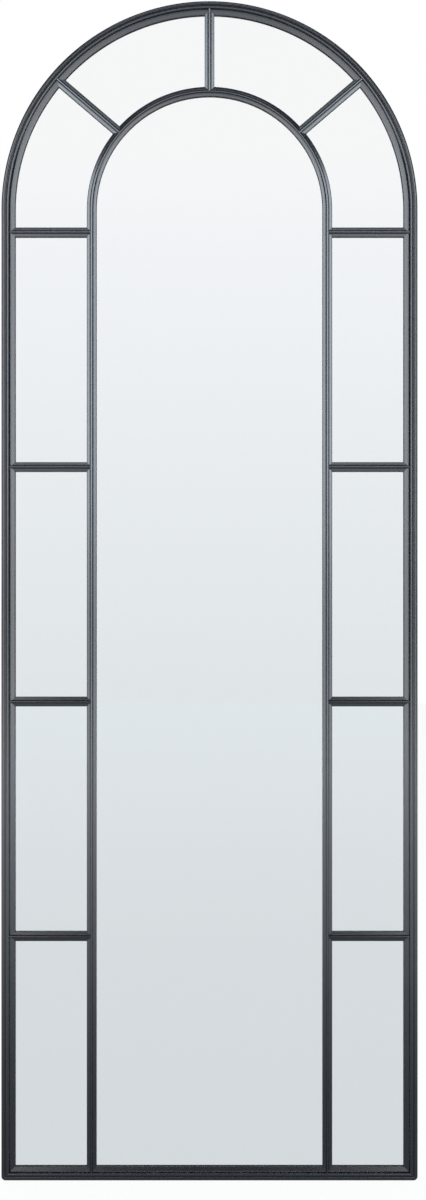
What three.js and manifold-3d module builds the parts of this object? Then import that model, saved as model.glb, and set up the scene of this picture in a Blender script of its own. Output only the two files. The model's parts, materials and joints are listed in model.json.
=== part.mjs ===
// Arched window mirror: a tall frame with a half-round head, divided like an old shop window into
// thirteen separately cut mirror panes. Millimetres, +Z up, +X to the right, the front faces -Y.
// The origin is the middle of the lowest edge, half way through the depth.
//
// The outer frame is a hollow metal moulding, mitred at the foot and jointed at the head. The
// glazing bars inside it are solid T bars: their flange lies on the front of the glass and their
// tongue stands between two panes. Every bar end is scribed to the moulding that it runs into.

import * as THREE from 'three';
import { mergeVertices } from 'three/addons/utils/BufferGeometryUtils.js';
import Module from 'manifold-3d';

const wasm = await Module();
wasm.setup();

// ---------------------------------------------------------------- driving dimensions

// Whole mirror
const mirrorWidth = 600;
const mirrorHeight = 1700;
const frameDepth = 25;
const footCornerRadius = 6;

// Layout of the panes
const innerHoopHalfWidth = 170;
const headLegHeight = 33;
const sidePaneRows = 4;
const diagonalBarAngle = THREE.MathUtils.degToRad(40.5);

// Outer moulding, from its outer edge inwards
const rimHeight = 6.2;
const rimRadius = 3;
const rimFlatWidth = 1.2;
const rimBeadRadius = 1.4;
const grooveWidth = 1;
const grooveHeight = 4.6;
const ridgeHeight = 8;
const ridgeRadius = 2.6;
const mouldingCoveRadius = 2.4;
const mouldingFlangeWidth = 5.8;
const mouldingEdgeRadius = 1.5;
const lipCover = 7;
const tubeWall = 1.5;

// Glazing bars
const barWidth = 14;
const barHeight = 6.5;
const barCrestRadius = 1.1;
const barCoveRadius = 2.4;
const barFlangeHeight = 2.5;
const barEdgeRadius = 1.2;
const tongueWidth = 2;

// The flanges of the moulding and of the bars fall away from their coves towards the glass.
const flangeSlope = THREE.MathUtils.degToRad(13);

// Glass and back board
const glassThickness = 4;
const boardThickness = 3;

// Clearances
const jointGap = 0.3;
const glassGap = 0.3;
const seatGap = 0.2;
const paneToTongue = 0.5;
const paneToRebate = 1;
const clipToRebate = 0.8;
const screwHoleClearance = 0.3;

// Clips that hold the back board, and their screws
const clipWidth = 12;
const clipSheet = 1;
const clipPlateInset = 1.5;
const clipFootLength = 8;
const clipHeights = { lower: 360, upper: 960 };
const clipFootSpread = 160;
const clipHeadAngle = THREE.MathUtils.degToRad(50);
const screwHeadRadius = 3;
const screwHeadHeight = 1.7;
const screwHeadDome = 0.7;
const screwHeadFlatRadius = 2.1;
const screwShankRadius = 1.5;
const screwShankLength = 9;
const screwTipLength = 2.4;

// Strap hangers with swinging rings
const hangerHeight = 1290;
const hangerInset = 7;
const strapWidth = 8;
const strapSheet = 1.2;
const strapLength = 34;
const strapScrewDrops = [17.5, 28];
const ringWireRadius = 1;
const ringInnerWidth = 9.4;
const ringSideLength = 6;
const ringCornerRadius = 1.6;
const ringRunningGap = 0.2;
const ringEndGap = 0.5;

// Rubber bumpers that keep the frame off the wall
const bumperRadius = 5;
const bumperHeight = 5;
const bumperTaper = 1;
const bumperHeights = { lower: 45, upper: 1345 };

// Facets
const headSteps = 36;
const roundSides = 10;
const wireSides = 8;
const ringCornerSteps = 4;
const sectionArcSteps = 2;

// How far the shapes that only cut run past what they cut
const cutterOverrun = 20;
const cornerOverrun = 1;

// ---------------------------------------------------------------- dependent places

const halfWidth = mirrorWidth / 2;
const springHeight = mirrorHeight - halfWidth;
const headJointHeight = springHeight - headLegHeight;

// Widths of the moulding count inwards from its outer edge.
const grooveStart = rimRadius + rimFlatWidth + rimBeadRadius;
const ridgeStart = grooveStart + grooveWidth;
const ridgeCentre = ridgeStart + ridgeRadius;
const coveEnd = ridgeCentre + ridgeRadius + mouldingCoveRadius;
const faceWidth = coveEnd + mouldingFlangeWidth;
const tubeWidth = faceWidth - lipCover;

// Heights of a section count forward from the front of the glass.
const rearHeight = ridgeHeight - frameDepth;
const glassBackHeight = -glassThickness;
const boardFrontHeight = glassBackHeight - glassGap;
const boardBackHeight = boardFrontHeight - boardThickness;

const overallDepth = frameDepth + seatGap + bumperHeight;
const glassY = ridgeHeight - overallDepth / 2;
const rearY = glassY - rearHeight;

// ---------------------------------------------------------------- finishes

function finish(color, roughness, metalness) {
  return new THREE.MeshStandardMaterial({ color, roughness, metalness });
}

const finishes = {
  blackPaint: () => finish(0x1d1f24, 0.38, 0.2),
  silverGlass: () => finish(0xe4e9ec, 0.03, 1.0),
  fibreboard: () => finish(0x8a6a48, 0.85, 0.0),
  zincPlate: () => finish(0xb4b7ba, 0.35, 0.9),
  blackRubber: () => finish(0x202020, 0.8, 0.0),
};

// ---------------------------------------------------------------- solids and cuts

function solid(geometry) {
  const bare = geometry.clone();
  bare.deleteAttribute('normal');
  bare.deleteAttribute('uv');
  const merged = mergeVertices(bare);
  const mesh = new wasm.Mesh({
    numProp: 3,
    vertProperties: new Float32Array(merged.attributes.position.array),
    triVerts: new Uint32Array(merged.index.array),
  });
  return new wasm.Manifold(mesh);
}

function geometryOf(manifold) {
  const mesh = manifold.getMesh();
  const geometry = new THREE.BufferGeometry();
  geometry.setAttribute('position', new THREE.BufferAttribute(mesh.vertProperties, 3));
  geometry.setIndex(new THREE.BufferAttribute(mesh.triVerts, 1));
  const faceted = geometry.toNonIndexed();
  faceted.computeVertexNormals();
  return faceted;
}

function cutAway(geometry, cutters) {
  let body = solid(geometry);
  for (const cutter of cutters) {
    body = body.subtract(solid(cutter));
  }
  return geometryOf(body);
}

// ---------------------------------------------------------------- routes and sweeps

// A route lies in the plane of the mirror. A section swept along it has its x pointing forward,
// out of the mirror, and its y to the right of the direction of travel. Travelling clockwise
// round the frame, as seen from the front, the right-hand side is the inward side.
const forward = new THREE.Vector3(0, -1, 0);

class PlanarRoute extends THREE.Curve {
  constructor(stations) {
    super();
    this.stations = stations;
  }

  getSpacedPoints() {
    return this.stations.map((station) => station.point);
  }

  computeFrenetFrames() {
    const tangents = this.stations.map((station) => station.travel);
    const normals = tangents.map(() => forward);
    const binormals = tangents.map((travel) => new THREE.Vector3().crossVectors(travel, forward));
    return { tangents, normals, binormals };
  }
}

function station(x, z, travelX, travelZ) {
  return {
    point: new THREE.Vector3(x, glassY, z),
    travel: new THREE.Vector3(travelX, 0, travelZ).normalize(),
  };
}

function straightRoute(fromX, fromZ, toX, toZ) {
  const runX = toX - fromX;
  const runZ = toZ - fromZ;
  return new PlanarRoute([station(fromX, fromZ, runX, runZ), station(toX, toZ, runX, runZ)]);
}

// Up a leg on the left, over the half round and down a leg on the right.
function hoopRoute(radius, legEndZ) {
  const stations = [station(-radius, legEndZ, 0, 1)];
  for (let step = 0; step <= headSteps; step += 1) {
    const angle = Math.PI - (Math.PI * step) / headSteps;
    const x = radius * Math.cos(angle);
    const z = springHeight + radius * Math.sin(angle);
    stations.push(station(x, z, Math.sin(angle), -Math.cos(angle)));
  }
  stations.push(station(radius, legEndZ, 0, -1));
  return new PlanarRoute(stations);
}

function sweep(section, route) {
  return new THREE.ExtrudeGeometry(section, {
    extrudePath: route,
    steps: route.stations.length - 1,
    curveSegments: sectionArcSteps,
  });
}

// The outline of a section, moved outwards by a clearance all round.
function grown(section, clearance) {
  const outline = section.extractPoints(sectionArcSteps).shape;
  if (THREE.ShapeUtils.isClockWise(outline)) {
    outline.reverse();
  }
  const moved = outline.map((corner, index) => {
    const before = outline[(index + outline.length - 1) % outline.length];
    const after = outline[(index + 1) % outline.length];
    const into = corner.clone().sub(before).normalize();
    const away = after.clone().sub(corner).normalize();
    const side = new THREE.Vector2(into.y + away.y, -into.x - away.x).normalize();
    const reach = clearance / Math.max(side.x * into.y - side.y * into.x, 0.5);
    return corner.clone().addScaledVector(side, reach);
  });
  return new THREE.Shape(moved);
}

// ---------------------------------------------------------------- sections

// The round edge in which a falling flange ends, tangent to the flange and to the section's side.
// Height is forward of the glass and reach is across the section, as for the flange.
function flangeEdge(flangeStart, flangeHeight, sideReach, radius) {
  const reach = sideReach - radius;
  const fall = (reach + radius * Math.sin(flangeSlope) - flangeStart) * Math.tan(flangeSlope);
  return { height: flangeHeight - fall - radius * Math.cos(flangeSlope), reach };
}

// Outer moulding: a hollow tube with a rim, a groove, a round ridge and a cove on its front, and
// a lip that reaches inward over the glass.
function mouldingSection() {
  const quarter = Math.PI / 2;
  const roundHeight = ridgeHeight - ridgeRadius;
  const flangeHeight = roundHeight - mouldingCoveRadius;
  const edge = flangeEdge(coveEnd, flangeHeight, faceWidth, mouldingEdgeRadius);
  const section = new THREE.Shape();
  section.moveTo(rearHeight, 0);
  section.lineTo(rimHeight - rimRadius, 0);
  section.absarc(rimHeight - rimRadius, rimRadius, rimRadius, -quarter, 0, false);
  section.absarc(rimHeight - rimBeadRadius, grooveStart - rimBeadRadius, rimBeadRadius,
    0, quarter, false);
  section.lineTo(grooveHeight, grooveStart);
  section.lineTo(grooveHeight, ridgeStart);
  section.lineTo(roundHeight, ridgeStart);
  section.absarc(roundHeight, ridgeCentre, ridgeRadius, -quarter, 0, false);
  section.absarc(roundHeight, ridgeCentre, ridgeRadius, 0, quarter, false);
  section.absarc(roundHeight, coveEnd, mouldingCoveRadius, -quarter, -2 * quarter, true);
  section.absarc(edge.height, edge.reach, mouldingEdgeRadius, flangeSlope, quarter, false);
  section.lineTo(glassGap, faceWidth);
  section.lineTo(glassGap, tubeWidth);
  section.lineTo(rearHeight, tubeWidth);
  section.closePath();
  return section;
}

function hollowMouldingSection() {
  const section = mouldingSection();
  const coreFront = grooveHeight - tubeWall;
  const core = new THREE.Path();
  core.moveTo(rearHeight + tubeWall, tubeWall);
  core.lineTo(coreFront, tubeWall);
  core.lineTo(coreFront, tubeWidth - tubeWall);
  core.lineTo(rearHeight + tubeWall, tubeWidth - tubeWall);
  core.closePath();
  section.holes.push(core);
  return section;
}

// Glazing bar: a T with a rounded crest on a coved flange, and a tongue behind it.
function barSection() {
  const quarter = Math.PI / 2;
  const halfBar = barWidth / 2;
  const coveCentre = barCrestRadius + barCoveRadius;
  const crestCentre = barHeight - barCrestRadius;
  const edge = flangeEdge(coveCentre, barFlangeHeight, halfBar, barEdgeRadius);
  const section = new THREE.Shape();
  section.moveTo(glassGap, -halfBar);
  section.absarc(edge.height, -edge.reach, barEdgeRadius, -quarter, -flangeSlope, false);
  section.absarc(barFlangeHeight + barCoveRadius, -coveCentre, barCoveRadius,
    2 * quarter, quarter, true);
  section.absarc(crestCentre, 0, barCrestRadius, -quarter, 0, false);
  section.absarc(crestCentre, 0, barCrestRadius, 0, quarter, false);
  section.absarc(barFlangeHeight + barCoveRadius, coveCentre, barCoveRadius,
    -quarter, -2 * quarter, true);
  section.absarc(edge.height, edge.reach, barEdgeRadius, flangeSlope, quarter, false);
  section.lineTo(glassGap, halfBar);
  section.lineTo(glassGap, tongueWidth / 2);
  section.lineTo(glassBackHeight, tongueWidth / 2);
  section.lineTo(glassBackHeight, -tongueWidth / 2);
  section.lineTo(glassGap, -tongueWidth / 2);
  section.closePath();
  return section;
}

// ---------------------------------------------------------------- cutters

const mouldingClear = grown(mouldingSection(), jointGap);
const barClear = grown(barSection(), jointGap);

// What a bar end has to leave free round the member that it is scribed to.
const clearOf = {
  outerHead: sweep(mouldingClear, hoopRoute(halfWidth, headJointHeight)),
  outerSideLeft: sweep(mouldingClear,
    straightRoute(-halfWidth, -cutterOverrun, -halfWidth, springHeight)),
  outerSideRight: sweep(mouldingClear,
    straightRoute(halfWidth, springHeight, halfWidth, -cutterOverrun)),
  outerFoot: sweep(mouldingClear, straightRoute(halfWidth, 0, -halfWidth, 0)),
  innerHead: sweep(barClear, hoopRoute(innerHoopHalfWidth, headJointHeight)),
  innerSideLeft: sweep(barClear,
    straightRoute(-innerHoopHalfWidth, -cutterOverrun, -innerHoopHalfWidth, springHeight)),
  innerSideRight: sweep(barClear,
    straightRoute(innerHoopHalfWidth, springHeight, innerHoopHalfWidth, -cutterOverrun)),
};

// A block whose one side is the mitre plane at a foot corner. It lies on the side of the
// plane that the given tilt points to.
function mitreBlock(side, tilt) {
  const size = 2 * (frameDepth + cutterOverrun);
  const block = new THREE.BoxGeometry(size, size, size);
  block.translate(0, 0, (size - jointGap) / 2);
  block.rotateY(tilt);
  block.translate(side * halfWidth, glassY, 0);
  return block;
}

// The stile keeps what lies above the mitre plane and the bottom rail what lies below it.
function stileMitre(side) {
  return mitreBlock(side, (-side * 3 * Math.PI) / 4);
}

function railMitre(side) {
  return mitreBlock(side, (side * Math.PI) / 4);
}

// The sliver that rounds off a foot corner, as seen from the front.
function footCorner(side) {
  const spare = cornerOverrun;
  const depth = frameDepth + 2 * spare;
  const sliver = new THREE.Shape();
  sliver.moveTo(-spare, -spare);
  sliver.lineTo(footCornerRadius, -spare);
  sliver.lineTo(footCornerRadius, 0);
  sliver.absarc(footCornerRadius, footCornerRadius, footCornerRadius,
    -Math.PI / 2, -Math.PI, true);
  sliver.lineTo(-spare, footCornerRadius);
  sliver.closePath();
  const block = new THREE.ExtrudeGeometry(sliver, {
    depth,
    bevelEnabled: false,
    curveSegments: sectionArcSteps,
  });
  block.rotateX(Math.PI / 2);
  block.translate(-halfWidth, rearY + spare, 0);
  if (side > 0) {
    block.rotateZ(Math.PI);
    block.translate(0, 2 * (rearY + spare) - depth, 0);
  }
  return block;
}

// ---------------------------------------------------------------- places round the frame

// A place on the rear face of the frame: a matrix that takes local axes (x inward from the outer
// edge, y rearward from the rear face, z along the frame) to the mirror's own axes.
function edgePlace(x, z, inwardX, inwardZ) {
  const inward = new THREE.Vector3(inwardX, 0, inwardZ);
  const rearward = new THREE.Vector3(0, 1, 0);
  const along = new THREE.Vector3().crossVectors(inward, rearward);
  return new THREE.Matrix4().makeBasis(inward, rearward, along).setPosition(x, rearY, z);
}

function stilePlace(side, height) {
  return edgePlace(side * halfWidth, height, -side, 0);
}

function headPlace(angle) {
  return edgePlace(
    halfWidth * Math.cos(angle),
    springHeight + halfWidth * Math.sin(angle),
    -Math.cos(angle),
    -Math.sin(angle),
  );
}

const sides = [
  { word: 'left', sign: -1 },
  { word: 'right', sign: 1 },
];

function clipPlaces() {
  const places = {};
  for (const { word, sign } of sides) {
    for (const [level, height] of Object.entries(clipHeights)) {
      places[`${word}_${level}`] = stilePlace(sign, height);
    }
    places[`foot_${word}`] = edgePlace(sign * clipFootSpread, 0, 0, 1);
    places[`head_${word}`] = headPlace(Math.PI / 2 - sign * (Math.PI / 2 - clipHeadAngle));
  }
  return places;
}

function strapScrewPlaces() {
  const places = {};
  for (const { word, sign } of sides) {
    strapScrewDrops.forEach((drop, index) => {
      places[`${word}_${index + 1}`] = stilePlace(sign, hangerHeight - drop);
    });
  }
  return places;
}

function bumperPlaces() {
  const places = {};
  for (const { word, sign } of sides) {
    for (const [level, height] of Object.entries(bumperHeights)) {
      places[`${level}_${word}`] = stilePlace(sign, height);
    }
  }
  return places;
}

// ---------------------------------------------------------------- screws

const clipScrewInset = tubeWidth / 2;

// A pan head screw on its own axis: the head's seat lies at y = 0 and the point is at -y.
function screw() {
  const outline = [
    new THREE.Vector2(0, -screwShankLength),
    new THREE.Vector2(screwShankRadius, screwTipLength - screwShankLength),
    new THREE.Vector2(screwShankRadius, 0),
    new THREE.Vector2(screwHeadRadius, 0),
    new THREE.Vector2(screwHeadRadius, screwHeadHeight - screwHeadDome),
    new THREE.Vector2(screwHeadFlatRadius, screwHeadHeight),
    new THREE.Vector2(0, screwHeadHeight),
  ];
  return new THREE.LatheGeometry(outline, roundSides);
}

function screwHole() {
  const reach = 2 * (tubeWall + clipSheet + strapSheet);
  return new THREE.CylinderGeometry(
    screwShankRadius + screwHoleClearance,
    screwShankRadius + screwHoleClearance,
    reach,
    roundSides,
  );
}

function frameScrewHoles() {
  const holeAt = (inset) => (place) => {
    const hole = screwHole();
    hole.translate(inset, 0, 0);
    return hole.applyMatrix4(place);
  };
  return [
    ...Object.values(clipPlaces()).map(holeAt(clipScrewInset)),
    ...Object.values(strapScrewPlaces()).map(holeAt(hangerInset)),
  ];
}

// ---------------------------------------------------------------- outer frame

const hollowSection = hollowMouldingSection();
const screwHoles = frameScrewHoles();
const stileTop = headJointHeight - jointGap / 2;
const headFoot = headJointHeight + jointGap / 2;

function outerHead() {
  return cutAway(sweep(hollowSection, hoopRoute(halfWidth, headFoot)), screwHoles);
}

function outerStile(side) {
  const route = side < 0
    ? straightRoute(-halfWidth, 0, -halfWidth, stileTop)
    : straightRoute(halfWidth, stileTop, halfWidth, 0);
  const cutters = [stileMitre(side), footCorner(side), ...screwHoles];
  return cutAway(sweep(hollowSection, route), cutters);
}

function bottomRail() {
  const route = straightRoute(halfWidth, 0, -halfWidth, 0);
  const cutters = [railMitre(-1), railMitre(1), footCorner(-1), footCorner(1), ...screwHoles];
  return cutAway(sweep(hollowSection, route), cutters);
}

// ---------------------------------------------------------------- glazing bars

const bar = barSection();

function innerHead() {
  return sweep(bar, hoopRoute(innerHoopHalfWidth, headFoot));
}

function innerStile(side) {
  const x = side * innerHoopHalfWidth;
  const foot = ridgeCentre;
  const route = side < 0 ? straightRoute(x, foot, x, stileTop) : straightRoute(x, stileTop, x, foot);
  return cutAway(sweep(bar, route), [clearOf.outerFoot]);
}

// A cross bar between the outer and the inner stile, made at height 0.
function sideBar(side) {
  const outerEnd = side * (halfWidth - ridgeCentre);
  const innerEnd = side * innerHoopHalfWidth;
  const cutters = side < 0
    ? [clearOf.outerSideLeft, clearOf.innerSideLeft]
    : [clearOf.outerSideRight, clearOf.innerSideRight];
  return cutAway(sweep(bar, straightRoute(outerEnd, 0, innerEnd, 0)), cutters);
}

// A bar across the head, pointing at the centre of the half round.
function headBar(angle) {
  const inner = innerHoopHalfWidth;
  const outer = halfWidth - ridgeCentre;
  const route = straightRoute(
    inner * Math.cos(angle),
    springHeight + inner * Math.sin(angle),
    outer * Math.cos(angle),
    springHeight + outer * Math.sin(angle),
  );
  return cutAway(sweep(bar, route), [clearOf.outerHead, clearOf.innerHead]);
}

// The bars' heights, from the lowest: the rows between the foot and the head joint are equal.
const rowPitch = (headJointHeight - (faceWidth - barWidth / 2)) / sidePaneRows;

function sideBarHeight(row) {
  return headJointHeight - (sidePaneRows - row) * rowPitch;
}

// ---------------------------------------------------------------- mirror panes and back board

const paneEdge = tubeWidth + paneToRebate;
const paneToBarCentre = tongueWidth / 2 + paneToTongue;

function sheet(outline, thickness, frontHeight, arcSteps) {
  const plate = new THREE.ExtrudeGeometry(outline, {
    depth: thickness,
    bevelEnabled: false,
    curveSegments: arcSteps / 2,
  });
  plate.rotateX(Math.PI / 2);
  plate.translate(0, glassY - frontHeight + thickness, 0);
  return plate;
}

// A straight-sided sheet with a half-round top.
function archedSheet(halfSpan, footZ, thickness, frontHeight) {
  const outline = new THREE.Shape();
  outline.moveTo(-halfSpan, footZ);
  outline.lineTo(halfSpan, footZ);
  outline.absarc(0, springHeight, halfSpan, 0, Math.PI, false);
  outline.closePath();
  return sheet(outline, thickness, frontHeight, headSteps);
}

function centrePane() {
  return archedSheet(innerHoopHalfWidth - paneToBarCentre, paneEdge, glassThickness, 0);
}

function backBoard() {
  return archedSheet(halfWidth - paneEdge, paneEdge, boardThickness, boardFrontHeight);
}

function sidePane(side, row) {
  const bottom = row === 0 ? paneEdge : sideBarHeight(row) + paneToBarCentre;
  const top = sideBarHeight(row + 1) - paneToBarCentre;
  const inner = side * (innerHoopHalfWidth + paneToBarCentre);
  const outer = side * (halfWidth - paneEdge);
  const outline = new THREE.Shape();
  outline.moveTo(inner, bottom);
  outline.lineTo(outer, bottom);
  outline.lineTo(outer, top);
  outline.lineTo(inner, top);
  outline.closePath();
  return sheet(outline, glassThickness, 0, 2);
}

// The outline between two circles and two rays. A ray that carries a bar is moved aside so
// that its edge stays parallel to the bar, and a ray below the spring line becomes a level foot.
function headPane(side, isUpper) {
  const innerRadius = innerHoopHalfWidth + paneToBarCentre;
  const outerRadius = halfWidth - paneEdge;
  const lowAngle = (radius) => (isUpper
    ? diagonalBarAngle + Math.asin(paneToBarCentre / radius)
    : 0);
  const highAngle = (radius) => {
    const bearing = isUpper ? Math.PI / 2 : diagonalBarAngle;
    return bearing - Math.asin(paneToBarCentre / radius);
  };
  const outline = new THREE.Shape();
  const footZ = headJointHeight + paneToBarCentre;
  if (!isUpper) {
    outline.moveTo(innerRadius, footZ);
    outline.lineTo(outerRadius, footZ);
  }
  outline.absarc(0, springHeight, outerRadius, lowAngle(outerRadius), highAngle(outerRadius), false);
  outline.absarc(0, springHeight, innerRadius, highAngle(innerRadius), lowAngle(innerRadius), true);
  outline.closePath();
  const pane = sheet(outline, glassThickness, 0, headSteps / 4);
  if (side > 0) {
    return pane;
  }
  pane.rotateZ(Math.PI);
  pane.translate(0, 2 * glassY + glassThickness, 0);
  return pane;
}

// ---------------------------------------------------------------- board clips

// A stepped clip: a plate screwed to the rear face, a leg down the rebate and a foot that
// presses on the back board. Local x runs inward and local y rearward from the rear face.
function boardClip() {
  const plateRear = seatGap + clipSheet;
  const legStart = tubeWidth + clipToRebate;
  const boardDepth = boardBackHeight - rearHeight;
  const footRear = -boardDepth + seatGap + clipSheet;
  const profile = new THREE.Shape();
  profile.moveTo(clipPlateInset, seatGap);
  profile.lineTo(legStart, seatGap);
  profile.lineTo(legStart, footRear - clipSheet);
  profile.lineTo(legStart + clipSheet + clipFootLength, footRear - clipSheet);
  profile.lineTo(legStart + clipSheet + clipFootLength, footRear);
  profile.lineTo(legStart + clipSheet, footRear);
  profile.lineTo(legStart + clipSheet, plateRear);
  profile.lineTo(clipPlateInset, plateRear);
  profile.closePath();
  const strip = new THREE.ExtrudeGeometry(profile, { depth: clipWidth, bevelEnabled: false });
  strip.translate(0, 0, -clipWidth / 2);
  const hole = screwHole();
  hole.translate(clipScrewInset, 0, 0);
  return cutAway(strip, [hole]);
}

function clipScrew() {
  const fastener = screw();
  fastener.translate(clipScrewInset, 2 * seatGap + clipSheet, 0);
  return fastener;
}

// ---------------------------------------------------------------- hangers

const barrelBore = ringWireRadius + ringRunningGap;
const barrelRadius = barrelBore + strapSheet;
const barrelY = rearY + seatGap + barrelRadius;

// The strap: a plate whose top is rolled into a barrel round the ring. Made at x = 0.
function hangerStrap() {
  const plateFront = rearY + seatGap;
  const plateRear = plateFront + strapSheet;
  const meet = Math.acos((barrelRadius - strapSheet) / barrelRadius);
  const profile = new THREE.Shape();
  profile.moveTo(plateFront, -strapLength);
  profile.lineTo(plateRear, -strapLength);
  profile.lineTo(plateRear, -barrelRadius * Math.sin(meet));
  profile.absarc(barrelY, 0, barrelRadius, Math.PI + meet, Math.PI, false);
  profile.closePath();
  const bore = new THREE.Path();
  bore.absarc(barrelY, 0, barrelBore, 0, 2 * Math.PI, true);
  profile.holes.push(bore);
  const strap = new THREE.ExtrudeGeometry(profile, {
    depth: strapWidth,
    bevelEnabled: false,
    curveSegments: roundSides / 2,
  });
  // Section x becomes depth, section y becomes height and the extrusion runs across.
  const across = new THREE.Matrix4().makeBasis(
    new THREE.Vector3(0, 1, 0),
    new THREE.Vector3(0, 0, 1),
    new THREE.Vector3(1, 0, 0),
  );
  strap.applyMatrix4(across);
  strap.translate(-strapWidth / 2, 0, 0);
  const holes = strapScrewDrops.map((drop) => {
    const hole = screwHole();
    hole.translate(0, rearY, -drop);
    return hole;
  });
  return cutAway(strap, holes);
}

// The ring's wire starts and ends in the barrel and hangs down in a D. Made at the barrel's axis.
function hangerRing() {
  const halfSpan = ringInnerWidth / 2 + ringWireRadius;
  const stations = [station(ringEndGap / 2, 0, 1, 0)];
  const turn = (centreX, centreZ, radius, fromAngle, toAngle, steps) => {
    for (let step = 0; step <= steps; step += 1) {
      const angle = fromAngle + ((toAngle - fromAngle) * step) / steps;
      const x = centreX + radius * Math.cos(angle);
      const z = centreZ + radius * Math.sin(angle);
      stations.push(station(x, z, Math.sin(angle), -Math.cos(angle)));
    }
  };
  const corner = halfSpan - ringCornerRadius;
  turn(corner, -ringCornerRadius, ringCornerRadius, Math.PI / 2, 0, ringCornerSteps);
  turn(0, -ringSideLength, halfSpan, 0, -Math.PI, roundSides);
  turn(-corner, -ringCornerRadius, ringCornerRadius, Math.PI, Math.PI / 2, ringCornerSteps);
  stations.push(station(-ringEndGap / 2, 0, 1, 0));
  const wire = new THREE.Shape();
  wire.absarc(0, 0, ringWireRadius, 0, 2 * Math.PI, false);
  const ring = new THREE.ExtrudeGeometry(wire, {
    extrudePath: new PlanarRoute(stations),
    steps: stations.length - 1,
    curveSegments: wireSides / 2,
  });
  ring.translate(0, -glassY, 0);
  return ring;
}

function strapScrew() {
  const fastener = screw();
  fastener.translate(hangerInset, 2 * seatGap + strapSheet, 0);
  return fastener;
}

// ---------------------------------------------------------------- bumpers

function wallBumper() {
  const outline = [
    new THREE.Vector2(0, 0),
    new THREE.Vector2(bumperRadius, 0),
    new THREE.Vector2(bumperRadius - bumperTaper, bumperHeight),
    new THREE.Vector2(0, bumperHeight),
  ];
  const bumper = new THREE.LatheGeometry(outline, roundSides);
  bumper.translate(tubeWidth / 2, seatGap, 0);
  return bumper;
}

// ---------------------------------------------------------------- assembly

const mirror = new THREE.Group();

function put(parent, name, geometry, material) {
  const piece = new THREE.Mesh(geometry, material);
  piece.name = name;
  parent.add(piece);
  return piece;
}

const outerFrame = new THREE.Group();
put(outerFrame, 'outer_head_arch', outerHead(), finishes.blackPaint());
put(outerFrame, 'outer_bottom_rail', bottomRail(), finishes.blackPaint());
for (const { word, sign } of sides) {
  put(outerFrame, `outer_stile_${word}`, outerStile(sign), finishes.blackPaint());
}
mirror.add(outerFrame);

const glazingBars = new THREE.Group();
put(glazingBars, 'inner_head_arch', innerHead(), finishes.blackPaint());
put(glazingBars, 'crown_bar', headBar(Math.PI / 2), finishes.blackPaint());
for (const { word, sign } of sides) {
  put(glazingBars, `inner_stile_${word}`, innerStile(sign), finishes.blackPaint());
  const angle = sign > 0 ? diagonalBarAngle : Math.PI - diagonalBarAngle;
  put(glazingBars, `diagonal_bar_${word}`, headBar(angle), finishes.blackPaint());
  const crossBar = sideBar(sign);
  for (let row = 1; row <= sidePaneRows; row += 1) {
    const piece = put(glazingBars, `side_bar_${word}_${row}`, crossBar, finishes.blackPaint());
    piece.position.z = sideBarHeight(row);
  }
}
mirror.add(glazingBars);

const panes = new THREE.Group();
put(panes, 'mirror_pane_centre', centrePane(), finishes.silverGlass());
for (const { word, sign } of sides) {
  for (let row = 0; row < sidePaneRows; row += 1) {
    put(panes, `mirror_pane_${word}_${row + 1}`, sidePane(sign, row), finishes.silverGlass());
  }
  put(panes, `mirror_pane_head_lower_${word}`, headPane(sign, false), finishes.silverGlass());
  put(panes, `mirror_pane_head_upper_${word}`, headPane(sign, true), finishes.silverGlass());
}
mirror.add(panes);

const backing = new THREE.Group();
put(backing, 'back_board', backBoard(), finishes.fibreboard());
const clip = boardClip();
const clipFastener = clipScrew();
for (const [spot, matrix] of Object.entries(clipPlaces())) {
  put(backing, `board_clip_${spot}`, clip, finishes.zincPlate()).applyMatrix4(matrix);
  put(backing, `board_clip_screw_${spot}`, clipFastener, finishes.zincPlate()).applyMatrix4(matrix);
}
mirror.add(backing);

const hanging = new THREE.Group();
const strap = hangerStrap();
const ring = hangerRing();
for (const { word, sign } of sides) {
  const x = sign * (halfWidth - hangerInset);
  put(hanging, `hanger_strap_${word}`, strap, finishes.zincPlate()).position.set(x, 0, hangerHeight);
  put(hanging, `hanger_ring_${word}`, ring, finishes.zincPlate()).position.set(x, barrelY, hangerHeight);
}
const strapFastener = strapScrew();
for (const [spot, matrix] of Object.entries(strapScrewPlaces())) {
  put(hanging, `hanger_screw_${spot}`, strapFastener, finishes.zincPlate()).applyMatrix4(matrix);
}
const bumper = wallBumper();
for (const [spot, matrix] of Object.entries(bumperPlaces())) {
  put(hanging, `wall_bumper_${spot}`, bumper, finishes.blackRubber()).applyMatrix4(matrix);
}
mirror.add(hanging);

export default mirror;
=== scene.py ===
"""The looks of the arched window mirror: mouldings, bars, panes and rear fittings."""

import json
import math

import bmesh
import bpy
from mathutils import Matrix, Vector


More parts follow.
